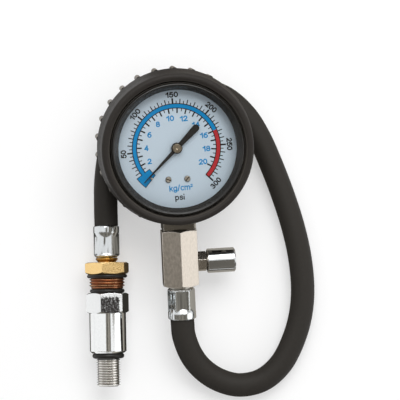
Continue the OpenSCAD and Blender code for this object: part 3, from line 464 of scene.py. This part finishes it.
# The band goes from blue to red at 227 psi and starts at a blue box around zero, all with a black outline
box_low, box_high, box_in, box_out = 215.8, 229.3, 17.2, 24.7
outline_t, band_t, box_t = 0.00003, 0.00005, 0.000055
change = zero_turn - 227 * psi_turn
gather("dial_outlines", [
    sector(band_rim_in, band_rim_out, zero_turn, full_turn, outline_t),
    sector(box_in - 0.3, box_out + 0.3, box_low - 0.8, box_high + 0.8, outline_t),
], black_ink, "gauge")
gather("dial_blue_band", [
    sector(band_in, band_out, zero_turn - 2, change, band_t),
    sector(box_in, box_out, box_low, box_high, box_t),
], blue_ink, "gauge")
gather("dial_red_band", [
    sector(band_in, band_out, change, full_turn + 0.5, band_t),
], red_ink, "gauge")

# The psi numbers stand around the dial, the last one on its head; the kg/cm2 numbers all stand upright
digit_h, digit_weight, psi_ring, kg_ring = 2.8, 0.6, 26.35, 14.9
psi_numbers = []
for value in range(50, 301, 50):
    turn = zero_turn - value * psi_turn
    upright = turn + 90 if value == full_psi else turn - 90
    width = 4.1 if value < 100 else 6.2
    psi_numbers.append(lettered(str(value), digit_h, width, digit_weight, around(psi_ring, turn), upright))
psi_numbers.append(lettered("psi", digit=2.9, width=4.8, weight=0.52, centre=(0.6, -24.6), turn=print_turn))
gather("dial_psi_numbers", psi_numbers, black_ink, "gauge")
kg_numbers = []
for value in range(2, 21, 2):
    centre = around(kg_ring, zero_turn - value * kg_turn)
    width = 2.1 if value < 10 else 3.9 if value < 20 else 4.3
    kg_numbers.append(lettered(str(value), digit_h, width, digit_weight, centre, print_turn))
kg_numbers.append(lettered("kg/cm", digit=3.0, width=10.4, weight=0.52, centre=(0.7, -19.9), turn=print_turn))
kg_numbers.append(lettered("2", digit=1.6, width=1.3, weight=0.38, centre=(6.6, -19.1), turn=print_turn))
gather("dial_kg_numbers", kg_numbers, blue_ink, "gauge")

# Dial screws and stop pin: turned steel, plated dull nickel and lightly stained by handling.
# The screws go through the dial into the movement; the pin stops the pointer at no pressure.
# The plating is blotchy, and the slots are painted dark: painted shade.
slot_floor, slot_edge = face + 0.00052, face + 0.0006
screw_finish, screw_shader, _ = grained("dull_nickel_screw", "#6d6458", "#e2dacb",
                                        grain=0.9, rough=(0.36, 0.5), relief=8, metal=1.0, edge=0.1)
screw_tree = screw_finish.node_tree
screw_place = put(screw_tree, "ShaderNodeTexCoord").outputs["Object"]
screw_height = put(screw_tree, "ShaderNodeSeparateXYZ", (), {0: screw_place}).outputs[2]
# Painted shade: darker from the slot's edge down to its floor.
slot_painted_shade = put(screw_tree, "ShaderNodeMapRange", (),
              {"Value": screw_height, "From Min": slot_edge, "From Max": slot_floor}).outputs[0]
toned(screw_tree, screw_shader, slot_painted_shade, linear("#463d33"))
dress(screw_finish, "dial_screws", "stop_pin")

# Pointer: stamped from thin aluminium and sprayed matt black; a turned nickel-plated cap hides its arbor.
# The cap shows faint turning marks and a brownish tone from the lacquer.
pointer_finish, pointer_shader, _ = grained("matt_black_spray", "#1d1b19", "#242220",
                                            grain=0.5, rough=(0.4, 0.5), relief=4, edge=0.1)
pointer_shader.inputs["Specular IOR Level"].default_value = 0.2
dress(pointer_finish, "pointer")
cap_finish, _, _ = grained("turned_nickel_cap", "#8a7e6b", "#a99d8a",
                           grain=0.5, rough=(0.3, 0.42), relief=5, metal=1.0, edge=0.12)
dress(cap_finish, "pointer_cap")

# Lens: a flat disc of clear polystyrene held between rim and bezel.
# Almost all light goes through; the rest is a thin even gloss that grows towards grazing angles.
lens_finish = bpy.data.materials.new("clear_polystyrene")
lens_finish.use_nodes = True
lens_tree = lens_finish.node_tree
lens_tree.nodes.remove(lens_tree.nodes["Principled BSDF"])
clear = put(lens_tree, "ShaderNodeBsdfTransparent", (), {"Color": linear("#fefefe")}).outputs[0]
shine = put(lens_tree, "ShaderNodeBsdfGlossy", (), {"Color": linear("#ffffff"), "Roughness": 0.03}).outputs[0]
facing = put(lens_tree, "ShaderNodeLayerWeight", (), {"Blend": 0.5}).outputs["Facing"]
grazing = put(lens_tree, "ShaderNodeMath", {"operation": "POWER"}, {0: facing, 1: 5.0}).outputs[0]
mirrored = put(lens_tree, "ShaderNodeMapRange", (),
               {"Value": grazing, "To Min": 0.015, "To Max": 0.9}).outputs[0]
sheet = put(lens_tree, "ShaderNodeMixShader", (), {0: mirrored, 1: clear, 2: shine}).outputs[0]
lens_tree.links.new(sheet, lens_tree.nodes["Material Output"].inputs["Surface"])
dress(lens_finish, "lens")

# Movement: brass plates, pinion and sector on steel pivots, a bronze Bourdon tube and a steel hairspring.
# Closed in behind the dial, so it stays bright from the press and the gear cutter: yellow brass, grey steel
# and bluish spring wire. The tube is fixed in the socket and bends with its tip.
movement_finish, _, _ = grained("pressed_brass", "#b98f3e", "#d3a955",
                                grain=0.8, rough=(0.24, 0.36), relief=4, metal=1.0)
dress(movement_finish, "pinion", "sector_gear", "lower_plate", "upper_plate", "plate_pillars", "tube_tip")
spring_finish, _, _ = grained("drawn_spring_steel", "#7c838b", "#9aa1a8",
                              grain=0.4, rough=(0.2, 0.32), relief=2, metal=1.0)
dress(spring_finish, "hairspring")
link_finish, _, _ = grained("bright_steel", "#9d9890", "#bdb8af",
                            grain=0.5, rough=(0.2, 0.34), relief=3, metal=1.0)
dress(link_finish, "link", "movement_screws", "valve_pin", "core_pin")


def flexing(name, node, finish):
    """A merged copy of a CAD piece, with its doubled points joined, that stands in for it; the CAD piece is
    hidden.
    """
    made = bmesh.new()
    made.from_mesh(nodes[node].data)
    bmesh.ops.remove_doubles(made, verts=made.verts, dist=1e-6)
    mesh = bpy.data.meshes.new(name)
    made.to_mesh(mesh)
    made.free()
    mesh.materials.clear()
    mesh.materials.append(finish)
    piece = bpy.data.objects.new(name, mesh)
    scene.collection.objects.link(piece)
    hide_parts(node)
    return piece


# Drawn phosphor bronze, redder than the brass.
tube_finish, _, _ = grained("phosphor_bronze", "#a97438", "#c48a48",
                            grain=1.0, rough=(0.26, 0.38), relief=4, metal=1.0)
tube = flexing("bronze_tube", "bourdon_tube", tube_finish)
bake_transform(tube)

# Socket: machined brass, nickel-plated; its wrench block shows between the boot and the tee.
# Brighter plating and smoother than the tee, so it mirrors the dark boot above it. Its colour is painted
# darker than the tee's: a painted reflection of the dark boot.
# Painted reflection: the nickel's colour is darker than the tee's.
socket_finish, _, _ = grained("bright_nickel", "#84807a", "#9a958d",
                              grain=1.0, rough=(0.1, 0.18), relief=5, metal=1.0, edge=2.0)
dress(socket_finish, "socket")

# Tee and hose nipple: hexagon bar, barrel-finished and plated satin nickel.
# Tumbling leaves a fine frosted grain, drawn 0.9 mm wide so that it shows, and soft bright edges: partly
# wear, partly a painted highlight.
bright_edge = "#f6f0e6"
tee_finish, _, _ = grained("satin_nickel", "#978f85", "#d6cec3", grain=0.9, rough=(0.3, 0.42), relief=16,
                           metal=1.0, stretch=(1, 0.5, 1), edge=0.5, wear_and_highlight=bright_edge)
dress(tee_finish, "tee_body", "hose_nipple")

# Release valve: a turned body with a hex neck, and a chromed push cap that slides over it on a coil spring.
# Polished before plating, with faint turning lines around the cap.
# Its edges take the tee's bright colour: partly wear, partly a painted highlight.
neck_finish, _, _ = grained("nickel_hex_neck", "#aaa399", "#c6bfb5", grain=0.8, rough=(0.22, 0.32), relief=6,
                            metal=1.0, edge=0.3, wear_and_highlight=bright_edge)
dress(neck_finish, "valve_body")
push_finish, _, _ = grained("polished_chrome", "#d3d6d8", "#e2e4e5", grain=2.0, rough=(0.05, 0.1), relief=3,
                            metal=1.0, stretch=(4, 1, 1), edge=0.3)
dress(push_finish, "button_cap")
valve_coil = flexing("valve_coil", "valve_spring", spring_finish)
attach(valve_coil, "gauge")
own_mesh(valve_coil)

# Ferrules: thin steel sleeves, crimped to six flats on the hose and chromed.
# The crimping dies leave the flats a little wavy, which breaks up the reflections.
ferrule_finish, _, _ = grained("crimped_chrome", "#cfd3d5", "#e3e6e7", grain=1.8, rough=(0.05, 0.1),
                               relief=110, metal=1.0, stretch=(1, 0.03, 1), edge=1.0, fine=0)
dress(ferrule_finish, "gauge_ferrule", "plug_ferrule")

# Plug fitting: turned from hexagon brass. The hex stays bright; the large thread has gone coppery brown.
# The tone follows the distance in mm along the plug and from its axis, and the brown lies in streaks around
# the thread. A check valve sits in its nose.
plug_start = Vector((-0.0353, -0.04034, -0.0044))
plug_along = Vector((-0.041313, -0.985707, 0.163326))
collar_end, large_thread, large_roots = (18.1, 18.4), (24.6, 25.6), (8.1, 8.8)
streak_mm, brass_edge = 1.6, 0.4
brass_finish, brass_shader, _ = grained("turned_brass", "#f2cb84", "#fddda2",
                                        grain=0.7, rough=(0.24, 0.36), relief=12, metal=1.0, edge=brass_edge)


def from_plug(tree):
    """The place on the plug, from the hose's end."""
    place = put(tree, "ShaderNodeTexCoord").outputs["Object"]
    return put(tree, "ShaderNodeVectorMath", {"operation": "SUBTRACT"}, {0: place, 1: plug_start}).outputs[0]


def towards(tree, direction, low, high):
    """A share that goes from 0 to 1 between two distances in mm from the hose's end, in a direction."""
    reach = put(tree, "ShaderNodeVectorMath", {"operation": "DOT_PRODUCT"},
                {0: from_plug(tree), 1: direction})
    return put(tree, "ShaderNodeMapRange", (),
               {"Value": reach.outputs["Value"], "From Min": low / 1000, "From Max": high / 1000}).outputs[0]


def from_axis(tree, low, high):
    """A share that goes from 0 to 1 between two distances in mm from the plug's axis."""
    across = put(tree, "ShaderNodeVectorMath", {"operation": "CROSS_PRODUCT"},
                 {0: from_plug(tree), 1: plug_along}).outputs[0]
    reach = put(tree, "ShaderNodeVectorMath", {"operation": "LENGTH"}, {0: across}).outputs["Value"]
    return put(tree, "ShaderNodeMapRange", (),
               {"Value": reach, "From Min": low / 1000, "From Max": high / 1000}).outputs[0]


def sharpened(tree, share, edge):
    """Keeps a finish's corners sharp where the share is 1, as on a thread."""
    bevel = next(n for n in tree.nodes if n.bl_idname == "ShaderNodeBevel")
    radius = put(tree, "ShaderNodeMapRange", (), {"Value": share, "To Min": edge / 1000, "To Max": 0.0})
    tree.links.new(radius.outputs[0], bevel.inputs["Radius"])


brass_tree = brass_finish.node_tree
brass_place = put(brass_tree, "ShaderNodeTexCoord").outputs["Object"]
lengthwise = put(brass_tree, "ShaderNodeMapping", (),
                 {"Vector": brass_place, "Scale": (0.25, 2.0, 0.25)}).outputs[0]
streaks = put(brass_tree, "ShaderNodeTexNoise", (),
              {"Vector": lengthwise, "Scale": 1000 / streak_mm, "Detail": 2, "Roughness": 0.6}).outputs["Fac"]
streaky = put(brass_tree, "ShaderNodeMapRange", (),
              {"Value": streaks, "From Min": 0.35, "From Max": 0.65}).outputs[0]
brown = put(brass_tree, "ShaderNodeMix", {"data_type": "RGBA"},
            {0: streaky, 6: linear("#af6c4c"), 7: linear("#dab287")}).outputs[2]
grime = put(brass_tree, "ShaderNodeMix", {"data_type": "RGBA"},
            {0: from_axis(brass_tree, *large_roots), 6: linear("#926145"), 7: brown}).outputs[2]
bright = brass_shader.inputs["Base Color"].links[0].from_socket
# Painted shade: the collar, up to 18.1 mm from the hose's end, is darker, as if shadowed by ferrule and hex.
collar_painted_shade = put(brass_tree, "ShaderNodeMix", {"data_type": "RGBA"},
              {0: towards(brass_tree, plug_along, *collar_end), 6: linear("#a9803f"), 7: bright}).outputs[2]
brass_tree.links.new(collar_painted_shade, brass_shader.inputs["Base Color"])
on_large = towards(brass_tree, plug_along, *large_thread)
toned(brass_tree, brass_shader, on_large, grime)
sharpened(brass_tree, on_large, brass_edge)
dress(brass_finish, "plug_fitting", "core_body")

core_coil = flexing("core_coil", "core_spring", spring_finish)
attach(core_coil, "gauge")
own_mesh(core_coil)

# O-rings and valve seals: black nitrile rubber, stretched over the plug or seated on the valves' pins.
# Smooth from the mould, with a faint shine on the round.
seal_finish, seal_shader, _ = grained("nitrile_rubber", "#1a1816", "#23211e",
                                      grain=0.8, rough=(0.32, 0.42), relief=4)
seal_shader.inputs["Specular IOR Level"].default_value = 0.3
dress(seal_finish, "hex_o_ring", "nose_o_ring", "adapter_o_ring", "valve_seal", "core_seal")

# Adapter: turned from hexagon steel and chromed, with a spark plug thread in dull zinc grey.
# Hex and round body are mirrors, apart from one flat of the hex that is scuffed and dark with pits. The pits
# are about 0.5 mm wide and thin out towards two of the flat's edges. The thread is darker in its roots.
fine_thread, fine_roots = (66.4, 66.9), (5.3, 5.9)
flat_out, flat_across = Vector((0.16302, 0.15463, 0.97443)), Vector((-0.98576, 0.06689, 0.1543))
pit_mm, adapter_edge = 0.5, 0.35
adapter_finish, adapter_shader, adapter_grain = grained(
    "chromed_steel", "#eaecec", "#f7f8f8", grain=1.2, rough=(0.05, 0.09), relief=10, metal=1.0,
    edge=adapter_edge)
adapter_tree = adapter_finish.node_tree
scuffed = 1.0
for direction, low, high in ((flat_out, 9.35, 9.45), (flat_across, -5.2, -3.2), (plug_along, 34.4, 36.8)):
    scuffed = put(adapter_tree, "ShaderNodeMath", {"operation": "MULTIPLY"},
                  {0: towards(adapter_tree, direction, low, high), 1: scuffed}).outputs[0]
adapter_place = put(adapter_tree, "ShaderNodeTexCoord").outputs["Object"]
speckle = put(adapter_tree, "ShaderNodeTexNoise", (),
              {"Vector": adapter_place, "Scale": 1000 / pit_mm, "Detail": 2, "Roughness": 0.6}).outputs["Fac"]
thinned = put(adapter_tree, "ShaderNodeMapRange", (),
              {"Value": scuffed, "To Min": 0.42, "To Max": 0.0}).outputs[0]
bare = put(adapter_tree, "ShaderNodeMath", {"operation": "ADD"}, {0: speckle, 1: thinned}).outputs[0]
pitted = put(adapter_tree, "ShaderNodeMapRange", (),
             {"Value": bare, "From Min": 0.71, "From Max": 0.57}).outputs[0]
toned(adapter_tree, adapter_shader, pitted, linear("#33302e"))
zinc = put(adapter_tree, "ShaderNodeMix", {"data_type": "RGBA"},
           {0: adapter_grain, 6: linear("#dddcd8"), 7: linear("#fbfaf8")}).outputs[2]
# The zinc is darker towards the thread's roots.
root_darkened_zinc = put(adapter_tree, "ShaderNodeMix", {"data_type": "RGBA"},
           {0: from_axis(adapter_tree, *fine_roots), 6: linear("#c6c3be"), 7: zinc}).outputs[2]
on_fine = towards(adapter_tree, plug_along, *fine_thread)
toned(adapter_tree, adapter_shader, on_fine, root_darkened_zinc)
polish = adapter_shader.inputs["Roughness"].links[0].from_socket
dull = put(adapter_tree, "ShaderNodeMix", {"data_type": "FLOAT"}, {0: on_fine, 2: polish, 3: 0.22}).outputs[0]
adapter_tree.links.new(dull, adapter_shader.inputs["Roughness"])
sharpened(adapter_tree, on_fine, adapter_edge)
dress(adapter_finish, "adapter")

# Studio: a pale table under the hose and square to the camera, a broad softbox above, one at the right and
# an even sky. Table and sky are white to the camera and in mirrors. The table keeps the gauge's shadow.
hose_plane = Vector((0, 0, -0.0107))
table_drop = 0.0063
table_centre = target - camera_axes[2] * ((target - hose_plane).dot(camera_axes[2]) + table_drop)


def spot(x, y, height):
    """A place over the table, in metres to the picture's right, up the picture and towards the camera."""
    return table_centre + camera_axes[0] * x + camera_axes[1] * y + camera_axes[2] * height


def level(left, low, right, high, height):
    """The corners of a rectangle that lies level over the table."""
    return [(left, low, height), (right, low, height), (right, high, height), (left, high, height)]


def panel(name, corners, finish):
    """A flat stage panel with its corners at these places over the table."""
    mesh = bpy.data.meshes.new(name)
    mesh.from_pydata([spot(*c) for c in corners], [], [tuple(range(len(corners)))])
    mesh.materials.append(finish)
    piece = bpy.data.objects.new(name, mesh)
    scene.collection.objects.link(piece)
    return piece


def seen_share(tree):
    """1 for rays from the camera and those that mirrors and clear pieces send on, else 0."""
    ray = put(tree, "ShaderNodeLightPath").outputs
    mirror = put(tree, "ShaderNodeMath", {"operation": "MAXIMUM"},
                 {0: ray["Is Camera Ray"], 1: ray["Is Glossy Ray"]}).outputs[0]
    return put(tree, "ShaderNodeMath", {"operation": "MAXIMUM"},
               {0: mirror, 1: ray["Is Transmission Ray"]}).outputs[0]


table_finish = bpy.data.materials.new("pale_table")
table_finish.use_nodes = True
table_tree = table_finish.node_tree
table_shader = table_tree.nodes["Principled BSDF"]
table_shader.inputs["Base Color"].default_value = linear("#c4c4c4")
table_shader.inputs["Roughness"].default_value = 0.9
table_shader.inputs["Specular IOR Level"].default_value = 0.1
table_shader.inputs["Emission Color"].default_value = (1, 1, 1, 1)
table_glow = 0.43
glow = put(table_tree, "ShaderNodeMath", {"operation": "MULTIPLY"},
           {0: seen_share(table_tree), 1: table_glow}).outputs[0]
table_tree.links.new(glow, table_shader.inputs["Emission Strength"])
panel("table", level(-3, -3, 3, 3, 0), table_finish)

sky = bpy.data.worlds.new("studio_sky")
sky.use_nodes = True
scene.world = sky
sky_tree = sky.node_tree
even = sky_tree.nodes["Background"]
even.inputs["Color"].default_value = (1, 1, 1, 1)
brightness = put(sky_tree, "ShaderNodeMapRange", (),
                 {"Value": seen_share(sky_tree), "To Min": 0.6, "To Max": 1.0}).outputs[0]
sky_tree.links.new(brightness, even.inputs["Strength"])

# Flags, seen only in mirrors: a sloping one on the foot's side, a strip around the camera and one under it,
# one at the right, and two on the table, under the tee and beside the plug. They are black cloth with a
# painted glow, dark to grey in bands, that paints the light and shade of folds. They give the chrome its dark
# stripes, which the painted folds make uneven, and keep the lens and the enamel free of haze.
flag_finish = bpy.data.materials.new("flag_cloth_painted_glow")
flag_finish.use_nodes = True
flag_tree = flag_finish.node_tree
flag_shader = flag_tree.nodes["Principled BSDF"]
flag_shader.inputs["Base Color"].default_value = (0, 0, 0, 1)
flag_shader.inputs["Specular IOR Level"].default_value = 0
flag_place = put(flag_tree, "ShaderNodeTexCoord").outputs["Object"]
flag_side = put(flag_tree, "ShaderNodeVectorMath", {"operation": "DOT_PRODUCT"},
                {0: flag_place, 1: camera_axes[0]}).outputs["Value"]
folds_per_m = 12
folds = put(flag_tree, "ShaderNodeTexNoise", {"noise_dimensions": "1D"},
            {"W": flag_side, "Scale": folds_per_m, "Detail": 2}).outputs["Fac"]
fold_glow_share = put(flag_tree, "ShaderNodeMapRange", (),
             {"Value": folds, "From Min": 0.35, "From Max": 0.65}).outputs[0]
# Painted light: the black cloth glows grey in bands, standing for its lit and shaded folds.
painted_fold_glow = put(flag_tree, "ShaderNodeMix", {"data_type": "RGBA"},
            {0: fold_glow_share, 6: linear("#33312d"), 7: linear("#aaa49a")}).outputs[2]
flag_tree.links.new(painted_fold_glow, flag_shader.inputs["Emission Color"])
flag_shader.inputs["Emission Strength"].default_value = 1
flag_h, cloth_h, foot_low = 0.9, 0.0005, 0.02
flags = {
    "foot_flag": [(-1.6, -0.16, flag_h), (0.9, -0.16, flag_h), (0.9, -1.7, foot_low), (-1.6, -1.7, foot_low)],
    "camera_flag": level(-0.1, 0, 0.13, 0.1, flag_h),
    "low_flag": level(-0.2, -0.16, 0.27, 0, flag_h),
    "right_flag": [(0.3, 0.04, flag_h), (0.55, -0.04, flag_h), (1.3, -0.04, flag_h), (1.3, 0.6, flag_h),
                   (0.3, 0.6, flag_h)],
    "table_flag": level(-0.036, -0.8, 0.045, 0.12, cloth_h),
    "plug_flag": level(-0.069, -0.1, -0.0555, 0, cloth_h),
}
for name, corners in flags.items():
    flag = panel(name, corners, flag_finish)
    for ray in ("camera", "diffuse", "shadow", "transmission", "volume_scatter"):
        setattr(flag, "visible_" + ray, False)


def softbox(name, place, size, power):
    """A rectangular lamp at a place over the table, aimed at the gauge."""
    lamp = bpy.data.lights.new(name, "AREA")
    lamp.shape = "RECTANGLE"
    lamp.size, lamp.size_y = size
    lamp.energy = power
    holder = bpy.data.objects.new(name, lamp)
    holder.location = spot(*place)
    holder.rotation_mode = "QUATERNION"
    holder.rotation_quaternion = (spot(0, 0, 0) - holder.location).to_track_quat("-Z", "Y")
    scene.collection.objects.link(holder)


softbox("softbox_above", (0.14, 0.5, 0.8), (0.8, 0.6), 6.2)
softbox("softbox_side", (0.8, -0.15, 0.4), (0.3, 0.6), 0.75)

scene.view_settings.view_transform = "Standard"
